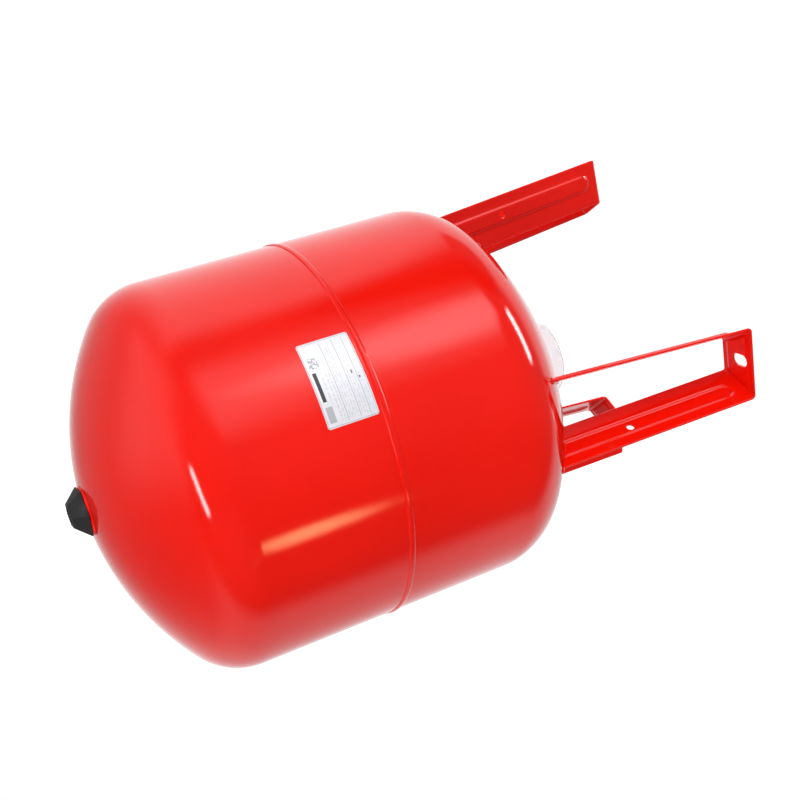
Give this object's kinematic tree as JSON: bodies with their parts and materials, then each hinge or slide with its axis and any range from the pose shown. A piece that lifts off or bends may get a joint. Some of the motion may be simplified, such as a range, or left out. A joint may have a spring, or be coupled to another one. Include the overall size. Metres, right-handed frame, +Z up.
{
  "type": "expansion vessel",
  "caption": "Floor-standing heating expansion vessel: two domed shells welded at a raised seam, strap legs, plugged water socket on top, covered gas valve below.",
  "frame": {"origin": "on the floor under the vessel's axis, at the middle of its bounding box", "axes": "+Z up along the vessel's axis towards the water connection; leg 1 points along -Y, legs 2 and 3 are 120 degrees round"},
  "size_m": [0.3892, 0.3892, 0.6576],
  "materials": {
    "red_enamel": "gloss",
    "black_rubber": "matte",
    "bare_steel": "satin",
    "black_plastic": "satin",
    "brass": "satin",
    "white_plastic": "matte",
    "clear_plastic": "translucent",
    "label_foil": "satin"
  },
  "bodies": {
    "vessel": {"upper_shell": "red_enamel", "lower_shell": "red_enamel", "seam_weld": "red_enamel", "clamp_ring": "bare_steel", "connection_socket": "red_enamel", "socket_weld": "red_enamel", "gas_valve_stem": "brass", "gas_valve_gasket": "black_rubber", "gas_valve_washer": "bare_steel", "gas_valve_nut": "bare_steel", "valve_core_barrel": "brass", "valve_core_ring": "white_plastic", "leg_1": "red_enamel", "leg_1_welds": "red_enamel", "leg_2": "red_enamel", "leg_2_welds": "red_enamel", "leg_3": "red_enamel", "leg_3_welds": "red_enamel", "rating_label": "label_foil"},
    "diaphragm": {"diaphragm": "black_rubber"},
    "plug_seal": {"plug_seal": "black_rubber"},
    "connection_plug": {"connection_plug": "black_plastic"},
    "core_pin": {"valve_core_pin": "bare_steel", "valve_core_seal": "black_rubber", "valve_core_spring": "bare_steel"},
    "cap_seal": {"valve_cap_seal": "black_rubber"},
    "valve_cap": {"valve_cap": "black_plastic"},
    "valve_cover": {"gas_valve_cover": "clear_plastic"}
  },
  "joints": [
    {"name": "diaphragm_travel", "type": "slide", "parent": "vessel", "child": "diaphragm", "axis": [0, 0, -1], "range_m": [0, 0.3], "stiffness_N_per_m": 600, "deforming": ["diaphragm"]},
    {"name": "plug_lift", "type": "slide", "parent": "vessel", "child": "plug_seal", "axis": [0, 0, 1], "range_m": [0, 0.0066]},
    {"name": "plug_turn", "type": "hinge", "parent": "plug_seal", "child": "connection_plug", "pos_m": [0, 0, 0.6434], "axis": [0, 0, 1], "range_deg": [0, 1296]},
    {"name": "pin_press", "type": "slide", "parent": "vessel", "child": "core_pin", "axis": [0, 0, 1], "range_m": [0, 0.0012], "stiffness_N_per_m": 1500, "springref_m": -0.001, "deforming": ["valve_core_spring"]},
    {"name": "valve_cap_lift", "type": "slide", "parent": "vessel", "child": "cap_seal", "axis": [0, 0, -1], "range_m": [0, 0.00714]},
    {"name": "valve_cap_turn", "type": "hinge", "parent": "cap_seal", "child": "valve_cap", "pos_m": [0, 0, 0.145], "axis": [0, 0, -1], "range_deg": [0, 3240]},
    {"name": "cover_pull", "type": "slide", "parent": "vessel", "child": "valve_cover", "axis": [0, 0, -1], "range_m": [0, 0.06]}
  ],
  "couplings": [
    {"joint": "plug_lift", "follows": "plug_turn", "m_per_rad": 0.00028871},
    {"joint": "valve_cap_turn", "follows": "valve_cap_lift", "rad_per_m": 7915.8}
  ]
}
